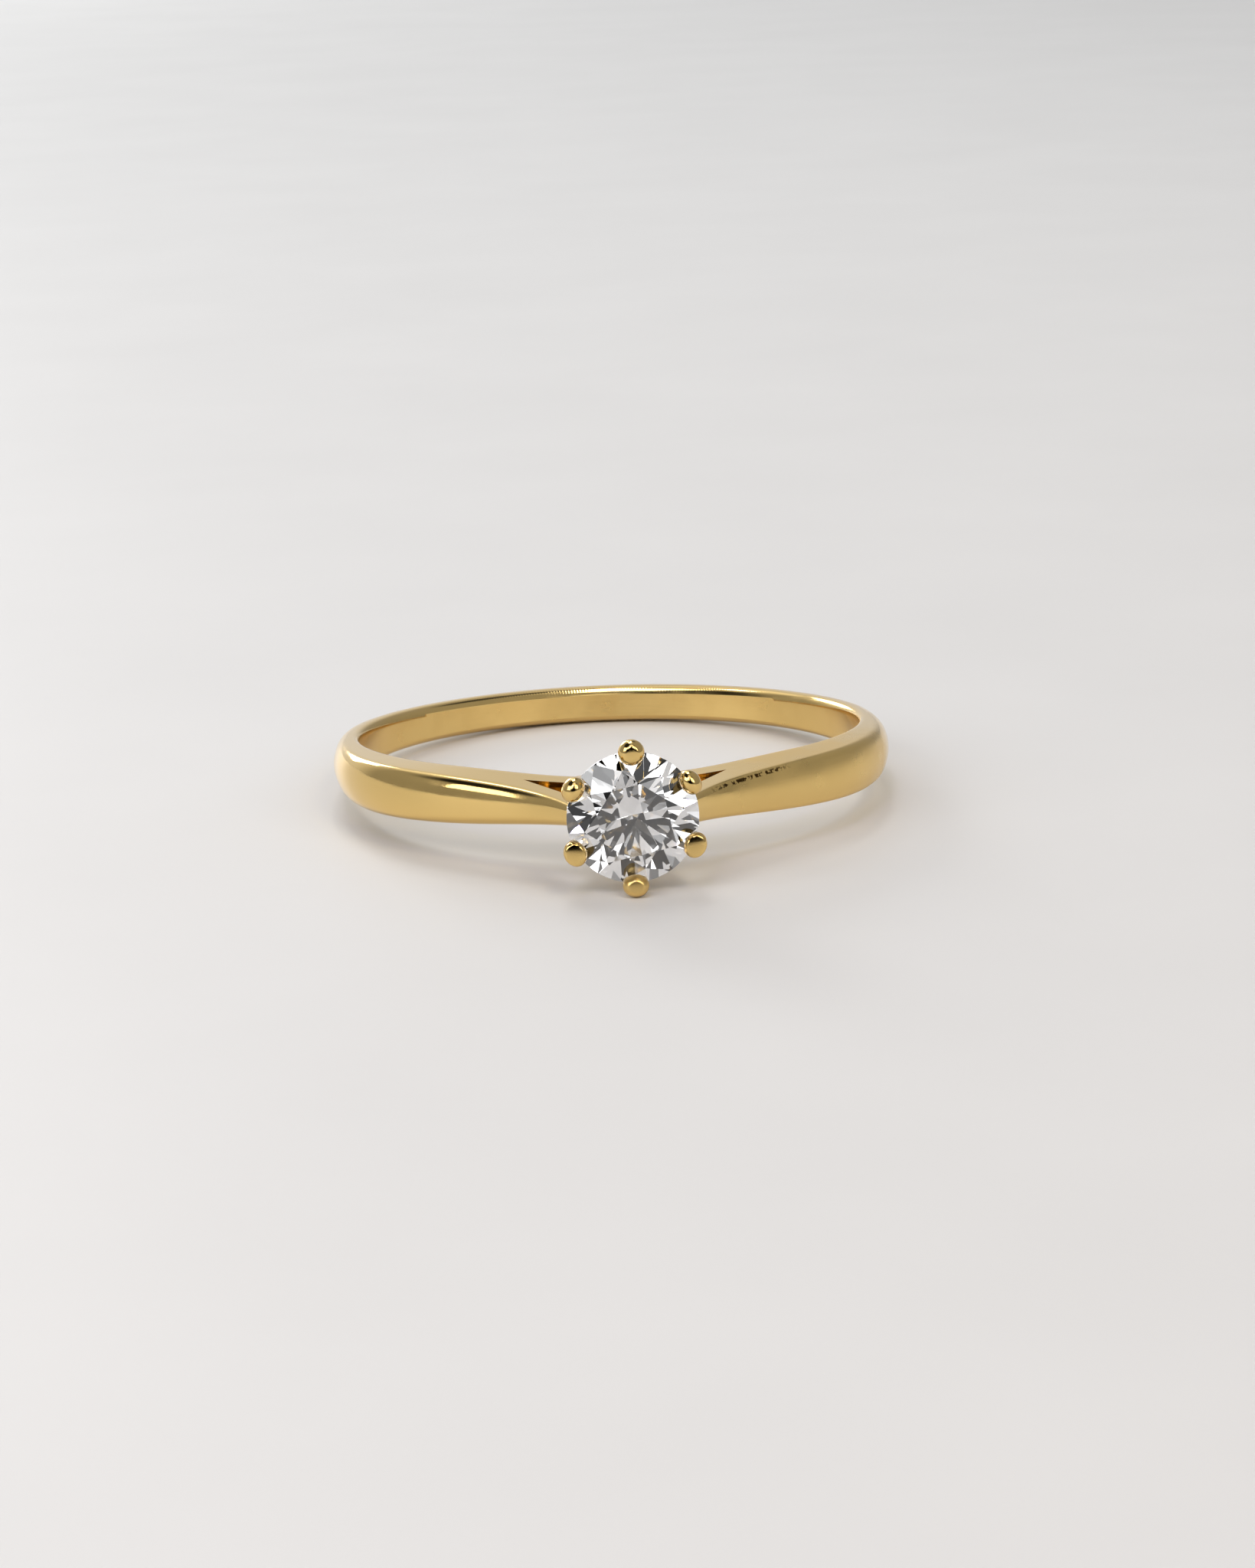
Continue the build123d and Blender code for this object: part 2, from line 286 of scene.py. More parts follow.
def curve_through(start, corner, end, share):
    """A point on the soft corner between two lines, at a share of the way along it."""
    a, b, c = (1 - share) ** 2, 2 * share * (1 - share), share**2
    return (a * start[0] + b * corner[0] + c * end[0], a * start[1] + b * corner[1] + c * end[1])


# The band's section, as rows of its upper half: the zone that a row lies in, and its place in that zone.
# The lower half mirrors it. The slit's rows close the arm's underside and the leaf's outside.
HALF_ROWS = [("bore", 0.0), ("bore", 0.4), ("bore", 0.75), ("bore", 1.0)]
HALF_ROWS += [("bore_edge", share / 5) for share in range(1, 5)]
HALF_ROWS += [("leaf_side", share / 4) for share in range(0, 4)]
HALF_ROWS += [("arm_side", share / 6) for share in range(0, 7)]
HALF_ROWS += [("ridge_edge", share / 5) for share in range(1, 5)]
HALF_ROWS += [("dome", share / 7) for share in range(7, -1, -1)]
SECTION_ROWS = [(zone, place, 1) for zone, place in HALF_ROWS]
SECTION_ROWS += [
    (zone, place, -1) for zone, place in reversed(HALF_ROWS) if place > 0 or zone.endswith("side")
]
SLIT_ROWS = [("slit", place, 1) for place in (0.75, 0.4, 0.0, -0.4, -0.75)]
ROWS = SECTION_ROWS + SLIT_ROWS
UPPER_SPLIT = SECTION_ROWS.index(("arm_side", 0.0, 1))
LOWER_SPLIT = SECTION_ROWS.index(("arm_side", 0.0, -1))


def row_place(angle, row, split_radius, hand):
    """Radius and Z of one row of the band's section at an angle, in millimetres."""
    zone, place, side = row
    wide = bore_half_width(angle)
    ridge = ridge_half_width(angle, hand)
    rim = outer_radius(angle)
    crest = ridge_radius(angle, hand)
    edge_height, edge_depth, edge_corner = bore_edge(angle)
    ridge_round = blend(angle, *RIDGE_ROUND_ANGLES, SHOULDER_RIDGE_ROUNDS[hand], HOOP_RIDGE_ROUND)
    low = BORE_RADIUS + edge_depth
    high = crest - ridge_round
    dome_edge = ridge - min(ridge_round, 0.5 * ridge)
    dome_start = rim - (rim - crest) * (dome_edge / ridge) ** 2
    if angle > SEAM_ANGLE - LEVEL_ANGLE:
        split_radius = min(split_radius, 0.5 * (low + high))
    if zone == "bore":
        radius, along = BORE_RADIUS, place * (wide - edge_height)
    elif zone == "bore_edge":
        start, end = (BORE_RADIUS, wide - edge_height), (low, side_half_width(angle, low, hand))
        radius, along = curve_through(start, edge_corner, end, place)
    elif zone == "leaf_side":
        radius = low + place * (split_radius - low)
        along = side_half_width(angle, radius, hand)
    elif zone == "arm_side":
        radius = split_radius + place * (high - split_radius)
        along = side_half_width(angle, radius, hand)
    elif zone == "ridge_edge":
        start, end = (high, side_half_width(angle, high, hand)), (dome_start, dome_edge)
        radius, along = curve_through(start, (crest, ridge), end, place)
    elif zone == "dome":
        radius, along = rim - (rim - dome_start) * place**2, place * dome_edge
    else:
        radius, along = split_radius, place * side_half_width(angle, split_radius, hand)
    return radius, along * side


def sweep(bm, edges, start_angle, end_angle, steps, split_radius, hand=1):
    """Spins edges of a section round the hoop, and shapes every new row to the band's size there."""
    row_layer = bm.verts.layers.int["row"]
    done = set(bm.verts)
    made = bmesh.ops.spin(
        bm,
        geom=list({vert for edge in edges for vert in edge.verts}) + list(edges),
        cent=(0, 0, 0),
        axis=(0, 0, 1),
        angle=radians(end_angle - start_angle) * hand,
        steps=steps,
        use_merge=False,
    )
    for vert in bm.verts:
        if vert in done:
            continue
        angle = atan2(vert.co.x * hand, -vert.co.y) * 180 / pi % 360
        turned = min(angle, 360 - angle)
        radius, along = row_place(turned, ROWS[vert[row_layer]], split_radius(turned), hand)
        vert.co = hoop_point(angle * hand, radius, along)
    return [item for item in made["geom_last"] if isinstance(item, bmesh.types.BMEdge)]


def draw_section(bm, angle, rows, hand=1):
    """Draws rows of the section at an angle, as loose vertices that remember their row."""
    row_layer = bm.verts.layers.int.get("row") or bm.verts.layers.int.new("row")
    verts = {}
    for index in rows:
        radius, along = row_place(angle, ROWS[index], LEAF_OUTER_RADIUS, hand)
        vert = bm.verts.new(hoop_point(angle * hand, radius, along))
        vert[row_layer] = index
        verts[index] = vert
    return verts


def chain(bm, verts, indices, close=False):
    """Joins vertices in order with edges."""
    pairs = list(zip(indices, indices[1:]))
    if close:
        pairs.append((indices[-1], indices[0]))
    return [bm.edges.new((verts[a], verts[b])) for a, b in pairs]


def band_length(start_angle, end_angle, steps):
    """A plain length of the band, closed at both ends."""
    bm = bmesh.new()
    indices = list(range(len(SECTION_ROWS)))
    verts = draw_section(bm, start_angle, indices)
    first = chain(bm, verts, indices, close=True)
    last = sweep(bm, first, start_angle, end_angle, steps, leaf_radius)
    for rim_edges in (first, last):
        bmesh.ops.contextual_create(bm, geom=rim_edges)
    return bm


def fork(name, hand, material, replaces):
    """A shoulder: a solid bar from the shank, sawn into an arm that rises to the head and a leaf below it."""
    bm = bmesh.new()
    indices = list(range(len(ROWS)))
    verts = draw_section(bm, SLIT_ROOT_ANGLE, indices, hand)
    slit = [UPPER_SPLIT] + list(range(len(SECTION_ROWS), len(ROWS))) + [LOWER_SPLIT]
    leaf = list(range(LOWER_SPLIT, len(SECTION_ROWS))) + list(range(0, UPPER_SPLIT + 1))
    arm = list(range(UPPER_SPLIT, LOWER_SPLIT + 1))
    leaf_edges = chain(bm, verts, leaf)
    arm_edges = chain(bm, verts, arm)
    slit_edges = chain(bm, verts, slit)
    body_end = sweep(bm, leaf_edges + arm_edges, SLIT_ROOT_ANGLE, SEAM_ANGLE, 110, leaf_radius, hand)
    leaf_end = sweep(bm, leaf_edges + slit_edges, SLIT_ROOT_ANGLE, LEAF_END_ANGLE, 26, leaf_radius, hand)
    arm_end = sweep(bm, arm_edges + slit_edges, SLIT_ROOT_ANGLE, ARM_END_ANGLE, 40, slit_radius, hand)
    for rim_edges in (body_end, leaf_end, arm_end):
        bmesh.ops.contextual_create(bm, geom=rim_edges)
    return new_piece(name, bm, material, replaces)


def lathe(profile, steps=48):
    """Spins a closed profile of (radius, height) points round the head's axis."""
    bm = bmesh.new()
    verts = [bm.verts.new(head_point(radius, 0, height)) for radius, height in profile]
    edges = [bm.edges.new((verts[i], verts[(i + 1) % len(verts)])) for i in range(len(verts))]
    bmesh.ops.spin(
        bm, geom=verts + edges, cent=(0, 0, 0), axis=(0, -1, 0), angle=2 * pi, steps=steps, use_merge=True
    )
    return bm


def quarter_round(centre_radius, centre_height, size, start, count=5):
    """Points along a quarter of a circle, as (radius, height), from a start angle."""
    angles = [radians(start + 90 * step / count) for step in range(count + 1)]
    return [(centre_radius + size * cos(angle), centre_height + size * sin(angle)) for angle in angles]


def soft_box(inner, outer, low, high, round_off):
    """The profile of a turned ring with rounded edges."""
    points = []
    for radius, height, start in ((outer, high, 0), (inner, high, 90), (inner, low, 180), (outer, low, 270)):
        centre_radius = radius - round_off if radius == outer else radius + round_off
        centre_height = height - round_off if height == high else height + round_off
        points += quarter_round(centre_radius, centre_height, round_off, start)
    return points


# --- Node tools --------------------------------------------------------------------------------------------


def linear(code):
    """An sRGB hex colour as linear light."""
    channels = [int(code[i : i + 2], 16) / 255 for i in (1, 3, 5)]
    return [c / 12.92 if c <= 0.04045 else ((c + 0.055) / 1.055) ** 2.4 for c in channels] + [1.0]


def add_node(tree, kind, inputs=None, **settings):
    """Adds a node, sets its fields, and fills or links its inputs."""
    node = tree.nodes.new(kind)
    for field, value in settings.items():
        setattr(node, field, value)
    for key, value in (inputs or {}).items():
        if isinstance(value, bpy.types.NodeSocket):
            tree.links.new(value, node.inputs[key])
        else:
            node.inputs[key].default_value = value
    return node


def new_material(name):
    """A new material with an empty node tree, and that tree."""
    material = bpy.data.materials.new(name)
    material.use_nodes = True
    material.node_tree.nodes.clear()
    return material, material.node_tree


def per_mm(size):
    """A texture scale for a pattern whose repeats are a size in millimetres apart."""
    return 1 / (size * MM)


def combine(tree, operation, first, second=0.0):
    """The result of one sum on values or sockets."""
    return add_node(tree, "ShaderNodeMath", {0: first, 1: second}, operation=operation).outputs["Value"]


def product(tree, *factors):
    """Several values or sockets multiplied together."""
    result = factors[0]
    for factor in factors[1:]:
        result = combine(tree, "MULTIPLY", result, factor)
    return result


def noise(tree, place, size, detail):
    """A cloudy pattern from 0 to 1, whose clouds are a size in millimetres."""
    settings = {"Vector": place, "Scale": per_mm(size), "Detail": detail}
    return add_node(tree, "ShaderNodeTexNoise", settings).outputs["Fac"]


def mix_colour(tree, factor, first, second):
    """A colour between two sRGB hex colours."""
    colours = {"Factor": factor, "A": linear(first), "B": linear(second)}
    return add_node(tree, "ShaderNodeMix", colours, data_type="RGBA").outputs["Result"]


def finish_material(tree, sockets):
    """The material's shader and output, with the shader's own sockets filled or linked."""
    shader = add_node(tree, "ShaderNodeBsdfPrincipled", sockets)
    add_node(tree, "ShaderNodeOutputMaterial", {"Surface": shader.outputs["BSDF"]})


def ramp(tree, value, start, end, low=0.0, high=1.0):
    """A smooth change from one level to another as a value passes between two limits."""
    limits = {"Value": value, "From Min": start, "From Max": end, "To Min": low, "To Max": high}
    return add_node(tree, "ShaderNodeMapRange", limits, interpolation_type="SMOOTHSTEP").outputs["Result"]


def polished_gold():
    """Eighteen carat yellow gold, cast, filed and hand polished, then worn. It mirrors the room softly."""
    material, tree = new_material("polished_yellow_gold")
    place = add_node(tree, "ShaderNodeTexCoord").outputs["Object"]
    axes = add_node(tree, "ShaderNodeSeparateXYZ", {"Vector": place})
    across, towards_back, along = axes.outputs["X"], axes.outputs["Y"], axes.outputs["Z"]
    flat_place = add_node(tree, "ShaderNodeVectorMath", {0: place, 1: (1.0, 1.0, 0.0)}, operation="MULTIPLY")
    reach = add_node(tree, "ShaderNodeVectorMath", {0: flat_place.outputs["Vector"]}, operation="LENGTH")
    reach = reach.outputs["Value"]
    smudge = noise(tree, place, 1.1, 4.0)
    grain = noise(tree, place, 0.09, 3.0)
    # Buffing lines run round the hoop, so their pattern is fine along Z and long the other way.
    stretched = add_node(tree, "ShaderNodeVectorMath", {0: place, 1: (1.0, 1.0, 14.0)}, operation="MULTIPLY")
    buffing = noise(tree, stretched.outputs["Vector"], 1.3, 4.0)

    # Wear has rubbed the right shoulder and the lower claws' pads matt. The wall at the finger was only
    # smoothed, so it gives a softer image of the room than the polished outside does.
    worn = product(
        tree,
        ramp(tree, across, 2.2 * MM, 4.5 * MM),
        ramp(tree, towards_back, -2.0 * MM, -5.0 * MM),
    )
    pads = product(
        tree,
        ramp(tree, along, -0.7 * MM, -1.0 * MM),
        ramp(tree, towards_back, -12.2 * MM, -12.6 * MM),
    )
    wall = ramp(tree, reach, (BORE_RADIUS + 0.12) * MM, (BORE_RADIUS + 0.02) * MM)
    rubbed = combine(tree, "MAXIMUM", worn, combine(tree, "MAXIMUM", pads, product(tree, wall, 0.6)))
    bright = ramp(tree, smudge, 0.3, 0.7, 0.06, 0.15)
    matt = ramp(tree, smudge, 0.3, 0.7, 0.26, 0.36)
    roughness = add_node(tree, "ShaderNodeMix", {"Factor": rubbed, "A": bright, "B": matt}, data_type="FLOAT")

    # A broken row of knocks, dark with dirt, lies along the right shoulder's upper edge.
    above_edge = combine(tree, "SUBTRACT", along, product(tree, across, RIGHT_EDGE_SLOPE))
    knock_place = product(
        tree,
        ramp(tree, above_edge, 0.10 * MM, 0.15 * MM),
        ramp(tree, above_edge, 0.27 * MM, 0.22 * MM),
        ramp(tree, across, 2.4 * MM, 3.2 * MM),
        ramp(tree, across, 5.6 * MM, 4.8 * MM),
        ramp(tree, towards_back, -7.0 * MM, -7.5 * MM),
        ramp(tree, reach, 9.3 * MM, 9.6 * MM),
    )
    knocks = product(tree, knock_place, ramp(tree, noise(tree, place, 0.13, 2.0), 0.47, 0.53))

    # File marks cross the rim at the back.
    turn = combine(tree, "ARCTAN2", across, towards_back)
    stroke = combine(tree, "SINE", product(tree, turn, BACK_OUTER_RADIUS / FILE_MARK_SPACING * 2 * pi))
    rim = product(
        tree,
        ramp(tree, towards_back, 6.0 * MM, 8.0 * MM),
        ramp(tree, along, 0.40 * MM, 0.46 * MM),
    )

    height = combine(tree, "ADD", product(tree, grain, 0.5), buffing)
    height = combine(tree, "ADD", height, product(tree, worn, 1.2, grain))
    height = combine(tree, "ADD", height, product(tree, stroke, rim, 0.35))
    height = combine(tree, "SUBTRACT", height, product(tree, knocks, 4.0))
    bump = add_node(tree, "ShaderNodeBump", {"Height": height, "Strength": 0.3, "Distance": 0.004 * MM})
    finish_material(
        tree,
        {
            "Base Color": mix_colour(tree, knocks, "#EBC981", "#4A3312"),
            "Metallic": 1.0,
            "Roughness": roughness.outputs["Result"],
            "Normal": bump.outputs["Normal"],
        },
    )
    return material


def clear_diamond():
    """Cut diamond: it bends light so strongly that its flat facets throw the room about as bright and dark.

    Its polish leaves no pattern that shows at this size, so the facets do all the work.
    """
    material, tree = new_material("polished_diamond")
    finish_material(
        tree, {"Base Color": (1, 1, 1, 1), "Roughness": 0.0, "IOR": 2.417, "Transmission Weight": 1.0}
    )
    return material


def table_laminate():
    """Smooth white laminate: nearly matt, a little cloudy, with a faint sheen at a low angle."""
    material, tree = new_material("white_laminate_table")
    place = add_node(tree, "ShaderNodeTexCoord").outputs["Object"]
    colour = mix_colour(tree, noise(tree, place, 14.0, 3.0), "#DDDDDC", "#E4E4E3")
    finish_material(tree, {"Base Color": colour, "Roughness": 0.52, "Specular IOR Level": 0.3})
    return material


gold = polished_gold()
diamond_glass = clear_diamond()
laminate = table_laminate()

# --- Hoop --------------------------------------------------------------------------------------------------

new_piece("shank_hoop", band_length(SEAM_ANGLE, 360 - SEAM_ANGLE, 320), gold, "shank")
fork("right_shoulder_fork", 1, gold, "right_shoulder")
fork("left_shoulder_fork", -1, gold, "left_shoulder")


def bridge_piece():
    """The bridge under the head, with its top planed flat for the head to stand on."""
    bm = band_length(LEAF_END_ANGLE, -LEAF_END_ANGLE, 40)
    cut = bmesh.ops.bisect_plane(
        bm,
        geom=bm.verts[:] + bm.edges[:] + bm.faces[:],
        plane_co=(0, -BRIDGE_TOP_HEIGHT * MM, 0),
        plane_no=(0, -1, 0),
        clear_outer=True,
    )
    rim_edges = [item for item in cut["geom_cut"] if isinstance(item, bmesh.types.BMEdge)]
    bmesh.ops.contextual_create(bm, geom=rim_edges)
    return new_piece("bridge_under_head", bm, gold, "bridge")


bridge_piece()

# --- Head --------------------------------------------------------------------------------------------------

base_profile = [(0, BASE_TOP_HEIGHT - BASE_DISH), (0, BRIDGE_TOP_HEIGHT), (BASE_RADIUS, BRIDGE_TOP_HEIGHT)]
base_profile += quarter_round(
    BASE_RADIUS - TURNED_EDGE_ROUND, BASE_TOP_HEIGHT - TURNED_EDGE_ROUND, TURNED_EDGE_ROUND, 0
)
new_piece("head_base_disc", lathe(base_profile), gold, "head_base")

gallery_profile = soft_box(
    GALLERY_INNER_RADIUS, GALLERY_OUTER_RADIUS, GALLERY_LOW, GALLERY_HIGH, TURNED_EDGE_ROUND
)
new_piece("gallery_ring_band", lathe(gallery_profile, 72), gold, "gallery_ring")


def seat_radius(height):
    """How far from the head's axis the stone's seat reaches at a height."""
    if height > GIRDLE_TOP:
        return STONE_RADIUS - (height - GIRDLE_TOP) / SEAT_CROWN_SLOPE
    if height < GIRDLE_BOTTOM:
        return STONE_RADIUS - (GIRDLE_BOTTOM - height) / SEAT_PAVILION_SLOPE
    return STONE_RADIUS


def claw_profile(length):
    """The claw as it is turned: half of a tapered wire that ends in a ball, as (run, radius) points."""
    profile = [(-CLAW_ROOT, 0.0)]
    straight = length - BEAD_SIZE * WIRE_END_SHARE + CLAW_ROOT
    for step in range(31):
        run = straight * step / 30 - CLAW_ROOT
        profile.append((run, CLAW_WIRE_FOOT + (CLAW_WIRE_TOP - CLAW_WIRE_FOOT) * max(run, 0) / length))
    for step in range(1, 17):
        swing = radians(BEAD_START_TURN + (180 - BEAD_START_TURN) * step / 16)
        radius = BEAD_SIZE * sin(swing)
        if swing < pi / 2:
            radius = max(radius, CLAW_WIRE_TOP)
        profile.append((length - BEAD_SIZE * cos(swing), radius))
    return profile


def press_claw(vert, bead_squeeze, pressed_height, bend):
    """Moves one point of an upright claw to where setting the stone pushed it."""
    height = -vert.co.y / MM
    squeeze = blend(height, BEAD_NECK_HEIGHT, BEAD_NECK_HEIGHT + PRESSED_LENGTH, 1, bead_squeeze)
    vert.co.z = (CLAW_BEAD_RADIUS + (vert.co.z / MM - CLAW_BEAD_RADIUS) * squeeze) * MM
    bent = radians(blend(height, BEAD_NECK_HEIGHT, CLAW_BEAD_HEIGHT, 0, bend))
    vert.co.x, vert.co.z = (
        vert.co.x * cos(bent) + vert.co.z * sin(bent),
        vert.co.z * cos(bent) - vert.co.x * sin(bent),
    )
    flat_top = CLAW_BEAD_HEIGHT + pressed_height
    height = min(height, flat_top + PRESSED_SHARE * max(height - flat_top, 0))
    height = max(height, BRIDGE_TOP_HEIGHT)
    # The notch: nothing of the claw comes nearer to the axis than the stone's seat.
    from_axis = hypot(vert.co.x, vert.co.z) / MM
    limit = seat_radius(height) + SEAT_CLEARANCE
    if from_axis < limit and height > NOTCH_START_HEIGHT:
        vert.co.x *= limit / from_axis
        vert.co.z *= limit / from_axis
    vert.co.y = -height * MM


def claw_piece(name, turn, bead_squeeze, pressed_height, bend):
    """A tapered wire with a bead on its end, notched at the girdle and pressed over the crown."""
    foot = Vector((CLAW_FOOT_RADIUS, BRIDGE_TOP_HEIGHT))
    bead = Vector((CLAW_BEAD_RADIUS, CLAW_BEAD_HEIGHT))
    length = (bead - foot).length
    lean = (bead - foot) / length
    out = Vector((lean.y, -lean.x))
    bm = bmesh.new()
    verts = []
    for run, radius in claw_profile(length):
        point = foot + lean * run + out * radius
        verts.append(bm.verts.new(head_point(point.x, 0, point.y)))
    edges = [bm.edges.new(pair) for pair in zip(verts, verts[1:])]
    start = head_point(foot.x, 0, foot.y)
    axis = (head_point(bead.x, 0, bead.y) - start).normalized()
    bmesh.ops.spin(bm, geom=verts + edges, cent=start, axis=axis, angle=2 * pi, steps=40, use_merge=True)
    bmesh.ops.remove_doubles(bm, verts=bm.verts, dist=1e-7)
    for vert in bm.verts:
        press_claw(vert, bead_squeeze, pressed_height, bend)
    bmesh.ops.rotate(bm, verts=bm.verts, cent=(0, 0, 0), matrix=Matrix.Rotation(radians(turn), 3, "Y"))
    return new_piece(name + "_wire", bm, gold, name)


for claw_name, claw_turn in CLAW_TURNS.items():
    claw_piece(claw_name, claw_turn, *CLAW_PRESSES[claw_name])

# --- Diamond -----------------------------------------------------------------------------------------------


def slice_off(bm, first, second, third):
    """Grinds one facet: cuts the stone by the plane through three points, and closes the cut."""
    normal = (second - first).cross(third - first).normalized()
    if normal.dot(first - head_point(0, 0, GIRDLE_HEIGHT)) < 0:
        normal = -normal
    cut = bmesh.ops.bisect_plane(
        bm,
        geom=bm.verts[:] + bm.edges[:] + bm.faces[:],
        dist=1e-8,
        plane_co=first,
        plane_no=normal,
        clear_outer=True,
    )
    rim_edges = [item for item in cut["geom_cut"] if isinstance(item, bmesh.types.BMEdge)]
    if len(rim_edges) > 2:
        bmesh.ops.contextual_create(bm, geom=rim_edges)


def round_blank():
    """The stone before cutting: a cylinder as tall as the finished stone."""
    bm = bmesh.new()
    middle = (TABLE_HEIGHT + CULET_HEIGHT) / 2
    bmesh.ops.create_cone(
        bm,
        cap_ends=True,
        segments=96,
        radius1=STONE_RADIUS * MM,
        radius2=STONE_RADIUS * MM,
        depth=(TABLE_HEIGHT - CULET_HEIGHT) * MM,
        matrix=Matrix.Translation(head_point(0, 0, middle)) @ Matrix.Rotation(radians(90), 4, "X"),
    )
    return bm


def diamond_piece():
    """A round brilliant, ground from a round blank facet by facet."""
    bm = round_blank()
    corner_cos = cos(pi / 8)
    table_mid = TABLE_RADIUS * corner_cos
    star_radius = table_mid + STAR_LENGTH * (STONE_RADIUS - table_mid)
    star_height = GIRDLE_TOP + (STONE_RADIUS - star_radius * corner_cos) * CROWN_SLOPE
    keel_radius = STONE_RADIUS * (1 - LOWER_HALF_LENGTH)
    keel_height = CULET_HEIGHT + keel_radius * corner_cos * PAVILION_SLOPE
    for main in range(8):
        turn = STONE_TURN + 45 * main
        # One star facet, then two upper and two lower girdle facets, then one main facet above and one below.
        corners = [head_point(TABLE_RADIUS, turn + 45 * side, TABLE_HEIGHT) for side in (0, 1)]
        slice_off(bm, corners[0], corners[1], head_point(star_radius, turn + 22.5, star_height))
        for side in (-22.5, 22.5):
            for girdle, tip in (
                (GIRDLE_TOP, head_point(star_radius, turn + side, star_height)),
                (GIRDLE_BOTTOM, head_point(keel_radius, turn + side, keel_height)),
            ):
                middle = head_point(STONE_RADIUS, turn, girdle)
                slice_off(bm, middle, head_point(STONE_RADIUS, turn + side, girdle), tip)
        for girdle, slope, reach in ((GIRDLE_TOP, CROWN_SLOPE, 1), (GIRDLE_BOTTOM, PAVILION_SLOPE, -1)):
            edge_point = head_point(STONE_RADIUS, turn, girdle)
            inner_point = head_point(0, 0, girdle + reach * STONE_RADIUS * slope)
            tangent = head_point(1, turn + 90, 0)
            slice_off(bm, edge_point, edge_point + tangent, inner_point)
    piece = new_piece("diamond_brilliant", bm, diamond_glass, "diamond", sharp=0.5)
    for face in piece.data.polygons:
        face.use_smooth = False
    return piece


diamond_piece()

# --- Table, light and camera -------------------------------------------------------------------------------

# In radians and metres
STEEPEST_LEAN = 0.3
TABLE_HALF_SIZE = 6.0
PANEL_DISTANCE = 0.34


def table_under(pieces):
    """The lean and drop of a table that touches the bottom claw and the back of the shank."""
    points = [vert.co for piece in pieces for vert in piece.data.vertices if vert.co.z < 0]
    low, high = 0.0, STEEPEST_LEAN
    for _ in range(40):
        lean = (low + high) / 2
        lowest = min(points, key=lambda point: point.z * cos(lean) - point.y * sin(lean))
        if lowest.y < 0:
            low = lean
        else:
            high = lean
    return lean, lowest.z * cos(lean) - lowest.y * sin(lean)


resting = [item for item in bpy.data.objects if item.name.endswith(("hoop", "wire"))]
TABLE_LEAN, TABLE_LEVEL = table_under(resting)

bm = bmesh.new()
bmesh.ops.create_grid(bm, x_segments=1, y_segments=1, size=TABLE_HALF_SIZE)
floor_mesh = bpy.data.meshes.new("table")
bm.to_mesh(floor_mesh)
bm.free()
floor = bpy.data.objects.new("table", floor_mesh)
floor.location = (0, 0, TABLE_LEVEL / cos(TABLE_LEAN))
floor.rotation_euler = (TABLE_LEAN, 0, 0)
floor.data.materials.append(laminate)
bpy.context.scene.collection.objects.link(floor)


def soft_light(name, towards, size, radiance, colour="#FFFFFF", distance=PANEL_DISTANCE):
    """A soft panel of one brightness that faces the ring."""
    light = bpy.data.lights.new(name, "AREA")
    light.shape = "RECTANGLE"
    light.size, light.size_y = size
    light.energy = radiance * pi * size[0] * size[1]
    light.color = linear(colour)[:3]
    panel = bpy.data.objects.new(name, light)
    panel.location = Vector(towards).normalized() * distance
    panel.rotation_euler = (-Vector(towards)).to_track_quat("-Z", "Y").to_euler()
    bpy.context.scene.collection.objects.link(panel)


# Each panel's direction from the ring, its size in metres, its brightness, and its colour if it isn't white.
soft_light("ceiling_panel", (-0.06, 0.27, 0.96), (0.11, 0.11), 4.2)
soft_light("far_left_window", (-0.36, 0.84, 0.40), (0.20, 0.20), 7.4, distance=0.62)
soft_light("left_window", (-0.76, -0.50, 0.48), (0.22, 0.17), 2.7)
soft_light("back_lamp", (0.03, 0.50, 0.86), (0.035, 0.03), 9.0)
soft_light("back_left_lamp", (-0.20, 0.60, 0.77), (0.03, 0.025), 12.0)
soft_light("front_high_lamp", (0.28, -0.62, 0.74), (0.06, 0.06), 10.0, "#FFDD9A")
soft_light("front_left_lamp", (-0.16, -0.62, 0.77), (0.05, 0.05), 9.0, "#D9CCFF")
soft_light("right_lamp", (0.62, -0.70, 0.34), (0.08, 0.09), 3.0, "#FFF6E6")

world = bpy.data.worlds.new("studio")
bpy.context.scene.world = world
world.use_nodes = True
sky = world.node_tree
sky.nodes.clear()
direction = add_node(sky, "ShaderNodeTexCoord").outputs["Generated"]


def lobe(towards, outer, inner, away, near):
    """A soft round patch of the room: one level outside an angle from a direction, another inside it."""
    vectors = {0: direction, 1: Vector(towards).normalized()}
    facing = add_node(sky, "ShaderNodeVectorMath", vectors, operation="DOT_PRODUCT").outputs["Value"]
    return ramp(sky, facing, cos(radians(outer)), cos(radians(inner)), away, near)


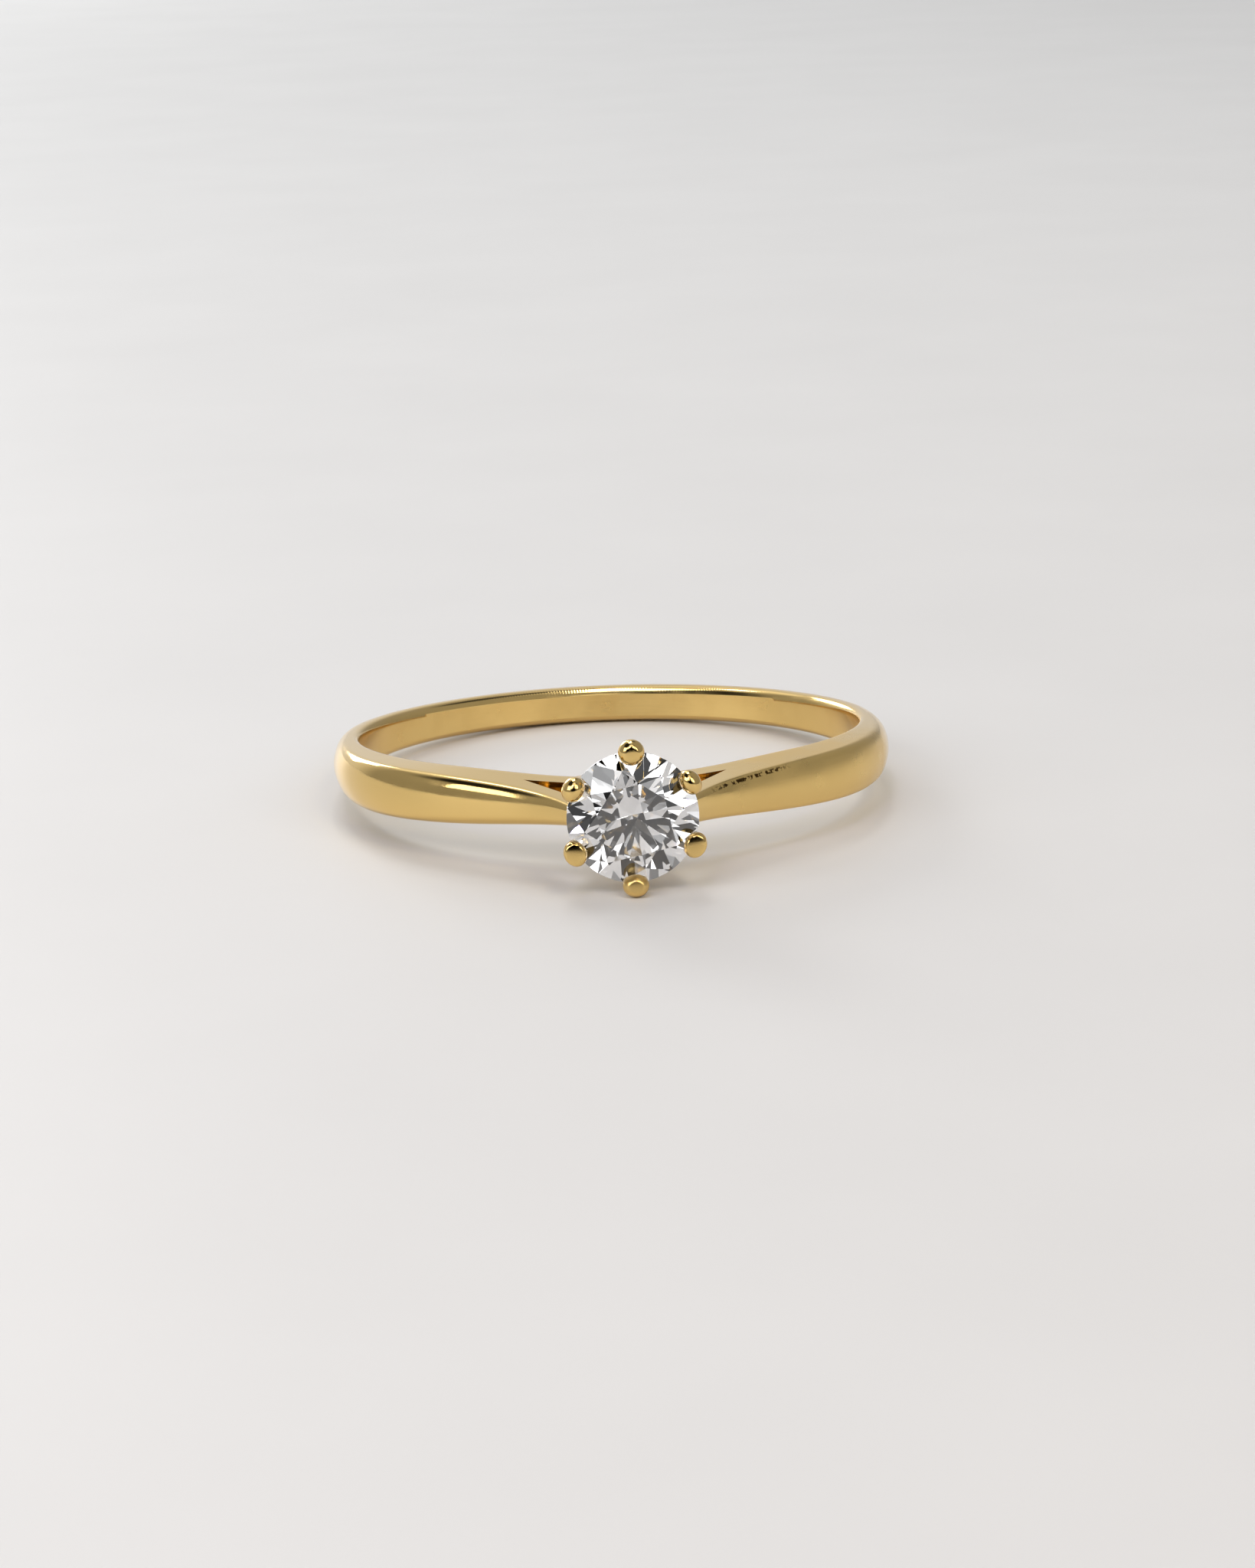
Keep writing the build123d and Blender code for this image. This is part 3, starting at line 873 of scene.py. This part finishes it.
# A white room, a little brighter above, with dark things in front, above the left shoulder and behind,
# and two bright stretches of wall behind.
level = lobe((-0.2, 0.2, 0.95), 115, 30, 0.30, 0.36)
for patch in (
    lobe((-0.05, -0.96, 0.25), 29, 17, 1.0, 0.03),
    lobe((0.0, -0.80, 0.60), 55, 30, 1.0, 0.08),
    lobe((-0.42, -0.08, 0.90), 30, 18, 1.0, 0.04),
    lobe((0.22, 0.57, 0.79), 12, 6, 1.0, 0.15),
    lobe((-0.08, 0.55, 0.83), 24, 14, 1.0, 2.0),
    lobe((-0.32, 0.94, 0.12), 46, 14, 1.0, 2.3),
):
    level = combine(sky, "MULTIPLY", level, patch)
# Bright windows high in front, which the stone throws back as white facets.
for window in (
    lobe((-0.36, -0.68, 0.62), 18, 13, 0.0, 2.0),
    lobe((0.45, -0.70, 0.55), 20, 15, 0.0, 2.0),
    lobe((0.02, -0.40, 0.91), 18, 12, 0.0, 1.2),
):
    level = combine(sky, "ADD", level, window)
glow = add_node(sky, "ShaderNodeBackground", {"Color": linear("#FBFBFC"), "Strength": level})
add_node(sky, "ShaderNodeOutputWorld", {"Surface": glow.outputs["Background"]})

camera_data = bpy.data.cameras.new("camera")
camera = bpy.data.objects.new("camera", camera_data)
bpy.context.scene.collection.objects.link(camera)
bpy.context.scene.camera = camera
CAMERA_TURN = radians(-3.0)
CAMERA_RISE = radians(10.31)
CAMERA_ROLL = radians(-2.16)
CAMERA_DISTANCE = 136.0 * MM
CAMERA_LENS = 90.0
CAMERA_SENSOR = 36.0
CAMERA_SHIFT = (0.0114, -0.0233)
back = Vector((sin(CAMERA_TURN) * cos(CAMERA_RISE), -cos(CAMERA_TURN) * cos(CAMERA_RISE), sin(CAMERA_RISE)))
right = Vector((cos(CAMERA_TURN), sin(CAMERA_TURN), 0))
up = back.cross(right)
right_rolled = right * cos(CAMERA_ROLL) + up * sin(CAMERA_ROLL)
up_rolled = up * cos(CAMERA_ROLL) - right * sin(CAMERA_ROLL)
camera.matrix_world = Matrix.Translation(back * CAMERA_DISTANCE) @ Matrix(
    (right_rolled, up_rolled, back)
).transposed().to_4x4()
camera_data.lens = CAMERA_LENS
camera_data.sensor_width = CAMERA_SENSOR
camera_data.shift_x, camera_data.shift_y = CAMERA_SHIFT
camera_data.clip_start = 0.001

bpy.context.scene.view_settings.view_transform = "Standard"
bpy.context.scene.cycles.max_bounces = 24
bpy.context.scene.cycles.transmission_bounces = 24
bpy.context.scene.cycles.glossy_bounces = 4
